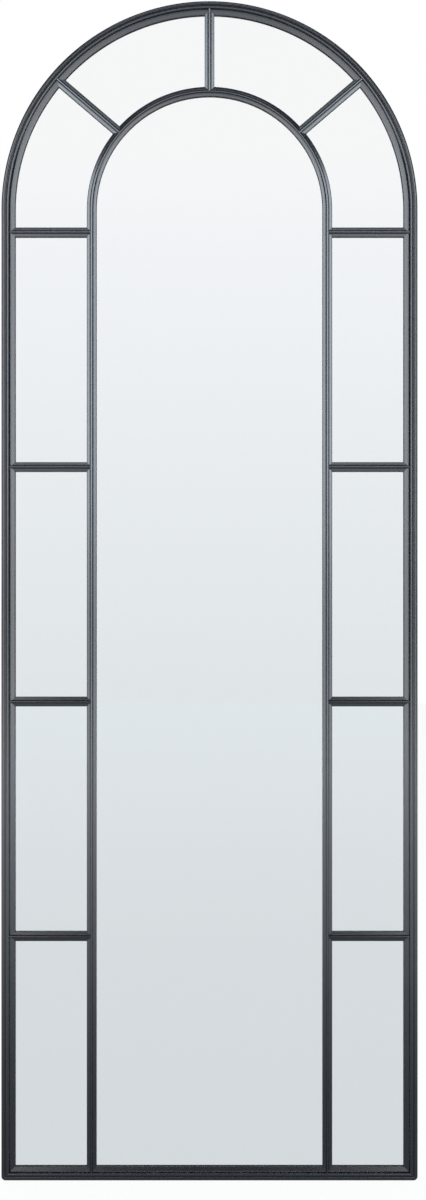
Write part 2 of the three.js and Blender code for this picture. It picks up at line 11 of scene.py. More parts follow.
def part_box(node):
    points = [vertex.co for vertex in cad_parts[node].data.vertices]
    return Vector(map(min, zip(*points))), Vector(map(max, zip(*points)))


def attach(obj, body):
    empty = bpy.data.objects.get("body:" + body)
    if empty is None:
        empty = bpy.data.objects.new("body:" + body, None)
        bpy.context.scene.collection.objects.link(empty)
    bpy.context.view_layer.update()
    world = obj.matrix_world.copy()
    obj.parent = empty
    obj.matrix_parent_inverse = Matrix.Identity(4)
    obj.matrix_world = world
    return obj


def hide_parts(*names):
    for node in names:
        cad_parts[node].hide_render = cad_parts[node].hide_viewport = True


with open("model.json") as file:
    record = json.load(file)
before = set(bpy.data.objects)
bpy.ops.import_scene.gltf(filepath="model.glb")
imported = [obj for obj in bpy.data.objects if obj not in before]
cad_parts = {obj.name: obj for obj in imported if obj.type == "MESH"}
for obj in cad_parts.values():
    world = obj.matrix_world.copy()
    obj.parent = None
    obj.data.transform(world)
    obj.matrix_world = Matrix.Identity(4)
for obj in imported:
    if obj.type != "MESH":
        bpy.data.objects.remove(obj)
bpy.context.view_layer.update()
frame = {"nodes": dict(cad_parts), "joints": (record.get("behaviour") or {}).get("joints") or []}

MM = 0.001

# ---------------------------------------------------------------- places, from the frame

HALF_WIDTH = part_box("outer_head_arch")[1].x
MIRROR_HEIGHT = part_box("outer_head_arch")[1].z
SPRING_HEIGHT = MIRROR_HEIGHT - HALF_WIDTH
HEAD_JOINT = (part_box("outer_head_arch")[0].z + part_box("outer_stile_left")[1].z) / 2
GLASS_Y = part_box("mirror_pane_centre")[0].y
REAR_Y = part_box("outer_stile_left")[1].y
BAR_WIDTH = 14 * MM
INNER_HALF_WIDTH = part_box("inner_head_arch")[1].x - BAR_WIDTH / 2
SIDE_ROWS = 4
DIAGONAL_ANGLE = math.radians(40.5)
FOOT_RADIUS = 6 * MM

SIDES = (("left", -1), ("right", 1))

# Points closer together than these are one point, and a sharper bend than this is an arris.
SAME_POINT = 0.001 * MM
WELD_DISTANCE = 0.002 * MM
SHARP_ANGLE = math.radians(32)

# ---------------------------------------------------------------- sections
# u runs across a section and v forward from the front of the glass. An outer moulding counts u
# inwards from its outer edge, a glazing bar from its own middle.

RIM_RADIUS = 3 * MM
RIM_HEIGHT = 6.2 * MM
RIM_FLAT = 1.2 * MM
RIM_BEAD = 1.4 * MM
GROOVE_WIDTH = 1 * MM
GROOVE_HEIGHT = 4.6 * MM
RIDGE_HEIGHT = 8 * MM
RIDGE_RADIUS = 2.6 * MM
COVE_RADIUS = 2.4 * MM
LIP_FLANGE = 5.8 * MM
LIP_EDGE = 1.5 * MM
LIP_COVER = 7 * MM
REAR_EDGE = 0.8 * MM
SUPPORT_MARGIN = 0.12 * MM

BAR_HEIGHT = 6.5 * MM
BAR_CREST = 1.1 * MM
CREST_RADIUS = 0.4 * MM
BAR_COVE = 2.4 * MM
BAR_FLANGE = 2.5 * MM
BAR_EDGE = 1.2 * MM
TONGUE_HALF = 1 * MM

# The flanges fall away from their coves towards the glass.
FLANGE_SLOPE = math.radians(13)
GLASS_GAP = 0.3 * MM
GLASS_THICKNESS = 4 * MM
SILVER_DEPTH = 3.9 * MM
JOINT_HALF = 0.03 * MM
SCRIBE_BITE = 0.08 * MM

GROOVE_START = RIM_RADIUS + RIM_FLAT + RIM_BEAD
RIDGE_START = GROOVE_START + GROOVE_WIDTH
RIDGE_CENTRE = RIDGE_START + RIDGE_RADIUS
RIDGE_BASE = RIDGE_HEIGHT - RIDGE_RADIUS
COVE_END = RIDGE_CENTRE + RIDGE_RADIUS + COVE_RADIUS
FACE_WIDTH = COVE_END + LIP_FLANGE
LIP_HEIGHT = RIDGE_BASE - COVE_RADIUS
TUBE_WIDTH = FACE_WIDTH - LIP_COVER
REAR_HEIGHT = GLASS_Y - REAR_Y

CREST_FLAT_START = CREST_RADIUS * math.sin(FLANGE_SLOPE)
CREST_FLAT_TOP = BAR_HEIGHT - CREST_RADIUS * (1 - math.cos(FLANGE_SLOPE))
CREST_BASE = CREST_FLAT_TOP - (BAR_CREST - CREST_FLAT_START) * math.tan(FLANGE_SLOPE)
BAR_COVE_CENTRE = BAR_CREST + BAR_COVE


def flange_edge(flange_start, flange_height, edge_at, radius):
    """The middle of the round edge in which a falling flange ends, as (u, v)."""
    centre_u = edge_at - radius
    start_u = centre_u + radius * math.sin(FLANGE_SLOPE)
    start_v = flange_height - (start_u - flange_start) * math.tan(FLANGE_SLOPE)
    return centre_u, start_v - radius * math.cos(FLANGE_SLOPE)


LIP_EDGE_CENTRE = flange_edge(COVE_END, LIP_HEIGHT, FACE_WIDTH, LIP_EDGE)
BAR_EDGE_CENTRE = flange_edge(BAR_COVE_CENTRE, BAR_FLANGE, BAR_WIDTH / 2, BAR_EDGE)
# The angle at which a round edge leaves a falling flange
EDGE_START = 90 - math.degrees(FLANGE_SLOPE)

ARC_STEPS = 9
REAR_EDGE_STEPS = 5
CREST_STEPS = 2
HEAD_STEPS = 120

# The wear and painted sheen of a flat stretch; a crest has more and a hollow less.
PLAIN_WEAR_AND_SHEEN = 0.35


def arc(u, v, radius, start, end, steps=ARC_STEPS):
    """The points of a round stretch about (u, v), both ends included; angles are in degrees."""
    points = []
    for step in range(steps + 1):
        angle = math.radians(start + (end - start) * step / steps)
        points.append((u + radius * math.cos(angle), v + radius * math.sin(angle)))
    return points


def tidy_loop(points):
    """The loop without points that repeat the one before."""
    kept = []
    for point in points:
        if not kept or math.dist(point, kept[-1]) > SAME_POINT:
            kept.append(point)
    if math.dist(kept[0], kept[-1]) <= SAME_POINT:
        kept.pop()
    return kept


def with_supports(points):
    """The loop with a point close to each end of its long straight stretches, to keep them flat."""
    supported = []
    for index, point in enumerate(points):
        after = points[(index + 1) % len(points)]
        length = math.dist(point, after)
        supported.append(point)
        if length > 8 * SUPPORT_MARGIN:
            for share in (SUPPORT_MARGIN / length, 1 - SUPPORT_MARGIN / length):
                supported.append(tuple(a + (b - a) * share for a, b in zip(point, after)))
    return supported


def moulding_section():
    """Rim, groove, round ridge, cove and lip of the outer frame, from the outer edge inwards."""
    tube = TUBE_WIDTH
    rear = REAR_HEIGHT
    return with_supports(tidy_loop([
        *arc(REAR_EDGE, rear + REAR_EDGE, REAR_EDGE, 270, 180, REAR_EDGE_STEPS),
        *arc(RIM_RADIUS, RIM_HEIGHT - RIM_RADIUS, RIM_RADIUS, 180, 90),
        *arc(GROOVE_START - RIM_BEAD, RIM_HEIGHT - RIM_BEAD, RIM_BEAD, 90, 0),
        (GROOVE_START, GROOVE_HEIGHT),
        (RIDGE_START, GROOVE_HEIGHT),
        *arc(RIDGE_CENTRE, RIDGE_BASE, RIDGE_RADIUS, 180, 0, 2 * ARC_STEPS),
        *arc(COVE_END, RIDGE_BASE, COVE_RADIUS, 180, 270),
        *arc(*LIP_EDGE_CENTRE, LIP_EDGE, EDGE_START, 0),
        (FACE_WIDTH, GLASS_GAP),
        (tube, GLASS_GAP),
        *arc(tube - REAR_EDGE, rear + REAR_EDGE, REAR_EDGE, 0, -90, REAR_EDGE_STEPS),
    ]))


def bar_section():
    """Low ridged crest, coves and flanges of a glazing bar, and the tongue behind them."""
    half = BAR_WIDTH / 2
    right = [
        *arc(0, BAR_HEIGHT - CREST_RADIUS, CREST_RADIUS, 90, EDGE_START, CREST_STEPS),
        (BAR_CREST, CREST_BASE),
        *arc(BAR_COVE_CENTRE, BAR_FLANGE + BAR_COVE, BAR_COVE, 180, 270),
        *arc(*BAR_EDGE_CENTRE, BAR_EDGE, EDGE_START, 0),
        (half, GLASS_GAP),
        (TONGUE_HALF, GLASS_GAP),
        (TONGUE_HALF, -GLASS_THICKNESS),
    ]
    left = [(-u, v) for u, v in reversed(right)]
    return with_supports(tidy_loop(right + left))


def edge_wear_and_sheen(section):
    """How far each point of a section stands proud, which sets the paint's wear and its painted sheen:
    high on a crest or an arris, low in a hollow.
    """
    values = []
    for index, point in enumerate(section):
        before = Vector(section[index - 1])
        after = Vector(section[(index + 1) % len(section)])
        here = Vector(point)
        into = here - before
        away = after - here
        turn = into.cross(away) / max(into.length * away.length, 1e-12)
        bend = math.asin(max(-1, min(1, turn)))
        curvature = bend / (into.length + away.length) * MM
        values.append(max(0, min(1, PLAIN_WEAR_AND_SHEEN + curvature)))
    area = sum(
        a[0] * b[1] - b[0] * a[1] for a, b in zip(section, section[1:] + section[:1])
    )
    return values if area > 0 else [2 * PLAIN_WEAR_AND_SHEEN - value for value in values]


def flange_reach(v, centre, radius, flange_start, flange_height):
    """How far a falling flange and its round edge reach at height v."""
    rise = v - centre[1]
    if rise <= 0:
        return centre[0] + radius
    if rise <= radius * math.cos(FLANGE_SLOPE):
        return centre[0] + math.sqrt(radius**2 - rise**2)
    return flange_start + (flange_height - v) / math.tan(FLANGE_SLOPE)


def moulding_reach(v):
    """How far in from the outer edge the outer moulding reaches at height v."""
    if v <= GLASS_GAP:
        return TUBE_WIDTH
    if v <= LIP_HEIGHT:
        return flange_reach(v, LIP_EDGE_CENTRE, LIP_EDGE, COVE_END, LIP_HEIGHT)
    if v <= RIDGE_BASE:
        return COVE_END - math.sqrt(max(COVE_RADIUS**2 - (RIDGE_BASE - v)**2, 0))
    return RIDGE_CENTRE + math.sqrt(max(RIDGE_RADIUS**2 - (v - RIDGE_BASE)**2, 0))


def bar_reach(v):
    """How far a glazing bar reaches from its own middle at height v."""
    if v <= GLASS_GAP:
        return TONGUE_HALF
    if v <= BAR_FLANGE:
        return flange_reach(v, BAR_EDGE_CENTRE, BAR_EDGE, BAR_COVE_CENTRE, BAR_FLANGE)
    if v <= BAR_FLANGE + BAR_COVE:
        drop = BAR_FLANGE + BAR_COVE - v
        return BAR_COVE_CENTRE - math.sqrt(max(BAR_COVE**2 - drop**2, 0))
    if v <= CREST_BASE:
        return BAR_CREST
    if v <= CREST_FLAT_TOP:
        return CREST_FLAT_START + (CREST_FLAT_TOP - v) / math.tan(FLANGE_SLOPE)
    return math.sqrt(max(CREST_RADIUS**2 - (v - BAR_HEIGHT + CREST_RADIUS)**2, 0))


# ---------------------------------------------------------------- mesh making

def object_of(name, bm):
    """A plain object of a mesh in the making."""
    mesh = bpy.data.meshes.new(name)
    bm.to_mesh(mesh)
    bm.free()
    made = bpy.data.objects.new(name, mesh)
    bpy.context.scene.collection.objects.link(made)
    return made


def make_piece(name, bm, materials, body="mirror", replaced=()):
    """Turns a mesh in the making into a shaded piece that rides on a body and stands for CAD nodes."""
    bmesh.ops.remove_doubles(bm, verts=bm.verts, dist=WELD_DISTANCE)
    bmesh.ops.recalc_face_normals(bm, faces=bm.faces)
    piece = object_of(name, bm)
    for polygon in piece.data.polygons:
        polygon.use_smooth = True
    piece.data.set_sharp_from_angle(angle=SHARP_ANGLE)
    for material in materials:
        piece.data.materials.append(material)
    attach(piece, body)
    if replaced:
        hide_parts(*replaced)
    return piece


def loft(bm, rings, wear_and_sheen=None, caps=True):
    """Skins a run of rings with the same number of points, and closes its ends."""
    # Each point's wear value also sets the painted highlight that lightens crests in the paint.
    layer = bm.verts.layers.float.get("wear_and_sheen") or bm.verts.layers.float.new("wear_and_sheen")
    made = []
    for ring in rings:
        row = [bm.verts.new(point) for point in ring]
        for index, vert in enumerate(row):
            vert[layer] = wear_and_sheen[index] if wear_and_sheen else PLAIN_WEAR_AND_SHEEN
        made.append(row)
    for low, high in zip(made, made[1:]):
        for index in range(len(low)):
            after = (index + 1) % len(low)
            bm.faces.new((low[index], low[after], high[after], high[index]))
    if caps:
        bm.faces.new(list(reversed(made[0])))
        bm.faces.new(made[-1])
    return made


def lofted(rings, wear_and_sheen=None):
    """A new mesh, skinned over a run of rings."""
    bm = bmesh.new()
    loft(bm, rings, wear_and_sheen)
    return bm


def front_point(x, z, v):
    """A point of the mirror that lies v forward of the glass."""
    return Vector((x, GLASS_Y - v, z))


# ---------------------------------------------------------------- outer frame

MOULDING = moulding_section()
MOULDING_WEAR_AND_SHEEN = edge_wear_and_sheen(MOULDING)
CORNER_STEPS = 12
CORNER_RUN = 5.4 * MM


def foot_path_point(u, back):
    """Where the line at width u runs on the left stile, a distance back from the mitre.

    Lines outside the corner's centre turn in a round corner, the others run straight into the mitre.
    """
    radius = FOOT_RADIUS - u
    edge = -HALF_WIDTH + u
    if radius <= 0:
        return edge, u + back
    arc_length = radius * math.pi / 4
    if back >= arc_length:
        return edge, FOOT_RADIUS + back - arc_length
    angle = math.pi + math.pi / 4 - back / radius
    x = -HALF_WIDTH + FOOT_RADIUS + radius * math.cos(angle)
    return x, FOOT_RADIUS + radius * math.sin(angle)


def corner_rings(place):
    """Rings over the last stretch before the mitre, from the mitre outwards."""
    rings = []
    for step in range(CORNER_STEPS + 1):
        back = JOINT_HALF + CORNER_RUN * step / CORNER_STEPS
        rings.append([front_point(*place(*foot_path_point(u, back)), v) for u, v in MOULDING])
    return rings


def arch_with_legs(section, half_width, wear_and_sheen):
    """A section swept up a short leg, round the half-round head and down the other leg."""
    foot = HEAD_JOINT + JOINT_HALF
    rings = [[front_point(-half_width + u, foot, v) for u, v in section]]
    for step in range(HEAD_STEPS + 1):
        angle = math.pi - math.pi * step / HEAD_STEPS
        ring = []
        for u, v in section:
            reach = half_width - u
            x = reach * math.cos(angle)
            ring.append(front_point(x, SPRING_HEIGHT + reach * math.sin(angle), v))
        rings.append(ring)
    rings.append([front_point(half_width - u, foot, v) for u, v in section])
    return lofted(rings, wear_and_sheen)


def head_moulding():
    return arch_with_legs(MOULDING, HALF_WIDTH, MOULDING_WEAR_AND_SHEEN)


def stile_moulding(side):
    rings = corner_rings(lambda x, z: (-side * x, z))
    top = HEAD_JOINT - JOINT_HALF
    rings.append([front_point(side * (HALF_WIDTH - u), top, v) for u, v in MOULDING])
    return lofted(rings, MOULDING_WEAR_AND_SHEEN)


def rail_moulding():
    """The bottom rail: its corners are the stiles' ones, mirrored in the mitre planes."""
    left = corner_rings(lambda x, z: (z - HALF_WIDTH, x + HALF_WIDTH))
    right = [[Vector((-p.x, p.y, p.z)) for p in ring] for ring in reversed(left)]
    return lofted(left + right, MOULDING_WEAR_AND_SHEEN)


# ---------------------------------------------------------------- glazing bars

BAR = bar_section()
BAR_WEAR_AND_SHEEN = edge_wear_and_sheen(BAR)


def inner_head_bar():
    return arch_with_legs(BAR, INNER_HALF_WIDTH, BAR_WEAR_AND_SHEEN)


def inner_stile_bar(side):
    x = side * INNER_HALF_WIDTH
    foot = [front_point(x + u, moulding_reach(v) - SCRIBE_BITE, v) for u, v in BAR]
    top = [front_point(x + u, HEAD_JOINT - JOINT_HALF, v) for u, v in BAR]
    return lofted([foot, top], BAR_WEAR_AND_SHEEN)


def outer_end(v):
    """Where a bar across ends on the outer moulding at height v, from the middle of the mirror."""
    return HALF_WIDTH - moulding_reach(v) + SCRIBE_BITE


def inner_end(v):
    return INNER_HALF_WIDTH + bar_reach(v) - SCRIBE_BITE


def bar_across(angle, height, is_in_head):
    """A bar scribed to the outer moulding and to an inner bar; both are round in the head."""
    along = Vector((math.cos(angle), math.sin(angle)))
    across = Vector((-math.sin(angle), math.cos(angle)))
    rings = []
    for end in (outer_end, inner_end):
        ring = []
        for u, v in BAR:
            run = math.sqrt(end(v)**2 - u**2) if is_in_head else end(v)
            place = along * run + across * u
            ring.append(front_point(place.x, place.y, v))
        rings.append(ring)
    bm = lofted(rings, BAR_WEAR_AND_SHEEN)
    bmesh.ops.translate(bm, verts=bm.verts, vec=(0, 0, height))
    return bm


def side_bar(side, height):
    return bar_across(0 if side > 0 else math.pi, height, is_in_head=False)


def head_bar(angle):
    return bar_across(angle, SPRING_HEIGHT, is_in_head=True)


# ---------------------------------------------------------------- panes and back board

PANE_ARRIS = 0.5 * MM
BOARD_ARRIS = 0.25 * MM
PANE_EDGE = TUBE_WIDTH + 1 * MM
PANE_TO_BAR = TONGUE_HALF + 0.5 * MM


def inset(outline, distance):
    """An outline moved inwards by a distance; it runs counter-clockwise."""
    moved = []
    for index, corner in enumerate(outline):
        here = Vector(corner)
        into = (here - Vector(outline[index - 1])).normalized()
        away = (Vector(outline[(index + 1) % len(outline)]) - here).normalized()
        side = Vector((-into.y - away.y, into.x + away.x)).normalized()
        reach = distance / (side.y * into.x - side.x * into.y)
        moved.append(tuple(here + side * reach))
    return moved


def plate(outline, front_y, thickness, arris):
    """A sheet with an outline in (x, z) and small chamfers round both faces.

    The front face takes material 0, the edges material 1 and the rear face material 2.
    """
    inner = inset(outline, arris)
    rear_y = front_y + thickness
    levels = (
        (inner, front_y),
        (outline, front_y + arris),
        (outline, rear_y - arris),
        (inner, rear_y),
    )
    bm = bmesh.new()
    made = loft(bm, [[Vector((x, y, z)) for x, z in loop] for loop, y in levels])
    bm.faces.ensure_lookup_table()
    for face in bm.faces:
        face.material_index = 1
    bm.faces[-2].material_index = 0
    bm.faces[-1].material_index = 2
    return bm


def silvered_pane(outline):
    """A glass plate with the silver, material 3, as a face of its own close to its rear."""
    bm = plate(outline, GLASS_Y, GLASS_THICKNESS, PANE_ARRIS)
    silver_y = GLASS_Y + SILVER_DEPTH
    silver = bm.faces.new([bm.verts.new((x, silver_y, z)) for x, z in inset(outline, PANE_ARRIS)])
    silver.material_index = 3
    return bm


def arch_outline(half_span, foot):
    return [
        (-half_span, foot),
        (half_span, foot),
        *arc(0, SPRING_HEIGHT, half_span, 0, 180, HEAD_STEPS),
    ]


def side_pane_outline(side, row, bar_heights):
    bottom = PANE_EDGE if row == 0 else bar_heights[row - 1] + PANE_TO_BAR
    top = bar_heights[row] - PANE_TO_BAR
    near = INNER_HALF_WIDTH + PANE_TO_BAR
    far = HALF_WIDTH - PANE_EDGE
    low_x, high_x = sorted((side * near, side * far))
    return [(low_x, bottom), (high_x, bottom), (high_x, top), (low_x, top)]


def head_pane_outline(side, is_upper):
    inner = INNER_HALF_WIDTH + PANE_TO_BAR
    outer = HALF_WIDTH - PANE_EDGE
    steps = HEAD_STEPS // 4
    slant = math.degrees(DIAGONAL_ANGLE)

    def span(radius):
        aside = math.degrees(math.asin(PANE_TO_BAR / radius))
        return (slant + aside, 90 - aside) if is_upper else (0, slant - aside)

    outline = []
    if not is_upper:
        foot = HEAD_JOINT + PANE_TO_BAR
        outline += [(inner, foot), (outer, foot)]
    outline += arc(0, SPRING_HEIGHT, outer, *span(outer), steps)
    outline += arc(0, SPRING_HEIGHT, inner, *reversed(span(inner)), steps)
    if side < 0:
        outline = [(-x, z) for x, z in reversed(outline)]
    return outline


# ---------------------------------------------------------------- sheet metal, wire and turned parts

# A strip's rings along its path and its end corners, both by its half width
STRIP_STEPS = 6
STRIP_CORNER = 0.35
STRIP_EDGE_STEPS = 3
WIRE_SIDES = 18


def fillet_path(corners, radius, steps=6):
    """A polyline in two axes with its bends rounded."""
    path = [Vector(corners[0])]
    for before, corner, after in zip(corners, corners[1:], corners[2:]):
        here = Vector(corner)
        into = (here - Vector(before)).normalized()
        away = (Vector(after) - here).normalized()
        turn = into.angle_signed(away)
        tangent = radius * math.tan(abs(turn) / 2)
        start = here - into * tangent
        centre = start + Vector((-into.y, into.x)) * radius * (-1 if turn > 0 else 1)
        for step in range(steps + 1):
            spoke = start - centre
            spoke.rotate(Matrix.Rotation(-turn * step / steps, 2))
            path.append(centre + spoke)
    path.append(Vector(corners[-1]))
    return path


def spread_path(path, spacing):
    """The path with extra points, so that none of its stretches is longer than the spacing."""
    points = [path[0]]
    for before, after in zip(path, path[1:]):
        count = max(1, math.ceil((after - before).length / spacing))
        points += [before.lerp(after, step / count) for step in range(1, count + 1)]
    return points


def rounded_strip(path, half_width, thickness, edge, place, rounded_ends=(True, True)):
    """Sheet metal bent along a path, with round edges and, where asked, round corners at its ends.

    place turns (path x, path y, across) into a point of the mirror.
    """
    path = spread_path(path, half_width / STRIP_STEPS)
    lengths = [0]
    for before, after in zip(path, path[1:]):
        lengths.append(lengths[-1] + (after - before).length)
    total = lengths[-1]
    corner = STRIP_CORNER * half_width
    rings = []
    for index, point in enumerate(path):
        before = path[max(index - 1, 0)]
        after = path[min(index + 1, len(path) - 1)]
        travel = (after - before).normalized()
        normal = Vector((-travel.y, travel.x))
        width = half_width
        for is_round, run in zip(rounded_ends, (lengths[index], total - lengths[index])):
            if is_round and run < corner:
                width = half_width - corner + math.sqrt(corner**2 - (corner - run)**2)
        ring = []
        for start, sign_w, sign_t in ((0, 1, 1), (90, -1, 1), (180, -1, -1), (270, 1, -1)):
            for step in range(STRIP_EDGE_STEPS + 1):
                angle = math.radians(start + 90 * step / STRIP_EDGE_STEPS)
                across = sign_w * (width - edge) + edge * math.cos(angle)
                wear_and_highlight_lift = sign_t * (thickness / 2 - edge) + edge * math.sin(angle)
                spot = point + normal * wear_and_highlight_lift
                ring.append(place(spot.x, spot.y, across))
        rings.append(ring)
    return lofted(rings)


def lathe(profile, sides):
    """Turns a profile of (radius, height) points, which starts and ends on the z axis, round it."""
    bm = bmesh.new()
    rings = []
    for radius, height in profile[1:-1]:
        rings.append([
            Vector((
                radius * math.cos(math.tau * side / sides),
                radius * math.sin(math.tau * side / sides),
                height,
            ))
            for side in range(sides)
        ])
    made = loft(bm, rings, caps=False)
    for row, (_, height) in ((made[0], profile[0]), (made[-1], profile[-1])):
        tip = bm.verts.new((0, 0, height))
        for index in range(sides):
            bm.faces.new((row[index], row[(index + 1) % sides], tip))
    return bm


def wire(path, radius):
    """A round wire along points in a plane that is parallel to the mirror."""
    rings = []
    for index, point in enumerate(path):
        before = path[max(index - 1, 0)]
        after = path[min(index + 1, len(path) - 1)]
        travel = (after - before).normalized()
        aside = Vector((travel.z, 0, -travel.x))
        forward = Vector((0, -1, 0))
        ring = []
        for side in range(WIRE_SIDES):
            angle = math.tau * side / WIRE_SIDES
            ring.append(point + (aside * math.cos(angle) + forward * math.sin(angle)) * radius)
        rings.append(ring)
    return lofted(rings)


# ---------------------------------------------------------------- rear fittings

SEAT_GAP = 0.2 * MM
CLIP_SHEET = 1 * MM
CLIP_INSET = 1.5 * MM
CLIP_HALF_WIDTH = 6 * MM
CLIP_LEG = TUBE_WIDTH + 0.8 * MM
CLIP_FOOT = 8 * MM
CLIP_BEND = 1.1 * MM
CLIP_EDGE = 0.2 * MM
BOARD_DEPTH = 9.7 * MM
STRAP_SHEET = 1.2 * MM
STRAP_HALF_WIDTH = 4 * MM
STRAP_LENGTH = 34 * MM
STRAP_EDGE = 0.25 * MM
ROLL_TURN = 285
ROLL_STEPS = 24
RING_WIRE = 1 * MM
RING_GAP = 0.2 * MM
RING_HALF_SPAN = 5.7 * MM
RING_SIDE = 6 * MM
RING_CORNER = 1.6 * MM
RING_END_GAP = 0.5 * MM
SCREW_HEAD = 3 * MM
SCREW_HEAD_HEIGHT = 1.7 * MM
SCREW_HEAD_CHAMFER = 0.15 * MM
SCREW_DOME = 0.75 * MM
SCREW_DOME_STEPS = 10
SCREW_SHANK = 1.5 * MM
SCREW_LENGTH = 9 * MM
SCREW_SIDES = 40
# Radius of the tip's flat and its height over the end; radius of the neck and its depth
SCREW_POINT = (0.25 * MM, 0.4 * MM)
SCREW_NECK = (1.15 * MM, 0.6 * MM)
SCREW_COLLAR_HEIGHT = 0.2 * MM
THREAD_ROOT = 1.05 * MM
THREAD_PITCH = 1.3 * MM
THREAD_RISE = 0.35 * THREAD_PITCH
THREAD_START = 2.2 * MM
UNTHREADED_LENGTH = 3 * MM
RECESS_REACH = 1.55 * MM
RECESS_WIDTH = 0.72 * MM
RECESS_DEPTH = 1.25 * MM
# How long and wide the recess is at its bottom, against its top
RECESS_BOTTOM_SHARES = (0.35, 0.55)
RECESS_OVERRUN = 0.2 * MM
# Each screw is turned by its height, in radians for each metre, so that the recesses differ.
SCREW_SPIN = 40
BUMPER_RADIUS = 5 * MM
BUMPER_HEIGHT = 5 * MM
BUMPER_TAPER = 1 * MM
BUMPER_EDGE = 0.8 * MM
BUMPER_EDGE_START = 12
BUMPER_SIDES = 48
BUMPER_FOOT_CHAMFER = 0.2 * MM
BUMPER_RIM_HEIGHT = 0.7 * MM
BUMPER_RIM_STEP = 0.25 * MM


def box_centre(node):
    low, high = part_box(node)
    return (low + high) / 2


def rear_place(centre):
    """Axes at the outer edge of the rear face nearest to a point: x inward, y along, z rearward."""
    if centre.z > SPRING_HEIGHT:
        outward = Vector((centre.x, 0, centre.z - SPRING_HEIGHT)).normalized()
        edge = outward * HALF_WIDTH + Vector((0, 0, SPRING_HEIGHT))
    elif abs(centre.x) > HALF_WIDTH - FACE_WIDTH:
        outward = Vector((math.copysign(1, centre.x), 0, 0))
        edge = Vector((outward.x * HALF_WIDTH, 0, centre.z))
    else:
        outward = Vector((0, 0, -1))
        edge = Vector((centre.x, 0, 0))
    rearward = Vector((0, 1, 0))
    along = rearward.cross(-outward)
    place = Matrix((-outward, along, rearward)).transposed().to_4x4()
    place.translation = Vector((edge.x, REAR_Y, edge.z))
    return place


def board_clip(place):
    """A plate under its screw, a leg down the rebate and a foot on the board."""
    plate_rise = SEAT_GAP + CLIP_SHEET / 2
    foot_drop = -BOARD_DEPTH + SEAT_GAP + CLIP_SHEET / 2
    leg = CLIP_LEG + CLIP_SHEET / 2
    corners = [
        (CLIP_INSET, plate_rise),
        (leg, plate_rise),
        (leg, foot_drop),
        (CLIP_LEG + CLIP_SHEET + CLIP_FOOT, foot_drop),
    ]
    path = fillet_path(corners, CLIP_BEND)
    return rounded_strip(
        path, CLIP_HALF_WIDTH, CLIP_SHEET, CLIP_EDGE,
        lambda inward, rise, across: place @ Vector((inward, across, rise)),
    )


def screw_shape():
    """A pan head screw on the z axis with a cross recess; its head's seat is at height 0."""
    edge = SCREW_HEAD_HEIGHT - SCREW_DOME
    crown = [
        (SCREW_HEAD * math.cos(angle), edge + SCREW_DOME * math.sin(angle))
        for angle in (math.radians(90 * step / SCREW_DOME_STEPS) for step in range(SCREW_DOME_STEPS))
    ]
    point_radius, point_length = SCREW_POINT
    neck_radius, neck_height = SCREW_NECK
    shank = [(0, -SCREW_LENGTH), (point_radius, -SCREW_LENGTH + point_length)]
    turns = int((SCREW_LENGTH - UNTHREADED_LENGTH) / THREAD_PITCH)
    for turn in range(turns):
        ridge = -SCREW_LENGTH + THREAD_START + turn * THREAD_PITCH
        shank.append((THREAD_ROOT, ridge - THREAD_RISE))
        shank.append((SCREW_SHANK, ridge))
    profile = [
        *shank,
        (neck_radius, -neck_height),
        (SCREW_SHANK, -SCREW_COLLAR_HEIGHT),
        (SCREW_SHANK, 0),
        (SCREW_HEAD - SCREW_HEAD_CHAMFER, 0),
        (SCREW_HEAD, SCREW_HEAD_CHAMFER),
        *crown,
        (0, SCREW_HEAD_HEIGHT),
    ]
    return cut_recess(lathe(profile, SCREW_SIDES))


def cut_recess(bm):
    """Cuts a tapered cross into the head."""
    bmesh.ops.recalc_face_normals(bm, faces=bm.faces)
    head = object_of("screw_blank", bm)
    cross = bmesh.new()
    levels = (
        (*RECESS_BOTTOM_SHARES, SCREW_HEAD_HEIGHT - RECESS_DEPTH),
        (1.0, 1.0, SCREW_HEAD_HEIGHT + RECESS_OVERRUN),
    )
    for turn in (0, 90):
        rings = []
        for length, width, height in levels:
            reach = RECESS_REACH * length
            half = RECESS_WIDTH / 2 * width
            outline = ((-reach, -half), (reach, -half), (reach, half), (-reach, half))
            spin = Matrix.Rotation(math.radians(turn), 3, "Z")
            rings.append([spin @ Vector((x, y, height)) for x, y in outline])
        loft(cross, rings)
    bmesh.ops.recalc_face_normals(cross, faces=cross.faces)
    cutter = object_of("recess_cutter", cross)
    cut = head.modifiers.new("recess", "BOOLEAN")
    cut.operation = "DIFFERENCE"
    cut.solver = "EXACT"
    cut.use_self = True
    cut.object = cutter
    bpy.context.view_layer.update()
    shaped = bmesh.new()
    shaped.from_object(head, bpy.context.evaluated_depsgraph_get())
    bpy.data.objects.remove(head)
    bpy.data.objects.remove(cutter)
    return shaped


def hanger_strap(axis):
    """A strap whose top is rolled round the ring's wire; its lower end is rounded."""
    bore = RING_WIRE + RING_GAP
    roll = bore + STRAP_SHEET / 2
    plate_y = axis.y - roll
    path = [Vector((plate_y, axis.z - STRAP_LENGTH)), Vector((plate_y, axis.z))]
    for step in range(1, ROLL_STEPS + 1):
        angle = math.radians(180 - ROLL_TURN * step / ROLL_STEPS)
        path.append(Vector((axis.y + roll * math.cos(angle), axis.z + roll * math.sin(angle))))
    return rounded_strip(
        path, STRAP_HALF_WIDTH, STRAP_SHEET, STRAP_EDGE,
        lambda y, z, across: Vector((axis.x + across, y, z)),
        rounded_ends=(True, False),
    )


def hanger_ring(axis):
    """A D of wire whose two ends meet inside the rolled strap."""
    corner = RING_HALF_SPAN - RING_CORNER
    points = [(RING_END_GAP / 2, 0)]
    points += arc(corner, -RING_CORNER, RING_CORNER, 90, 0, 10)
    points += arc(0, -RING_SIDE, RING_HALF_SPAN, 0, -180, 48)
    points += arc(-corner, -RING_CORNER, RING_CORNER, 180, 90, 10)
    points += [(-RING_END_GAP / 2, 0)]
    return wire([axis + Vector((x, 0, z)) for x, z in points], RING_WIRE)


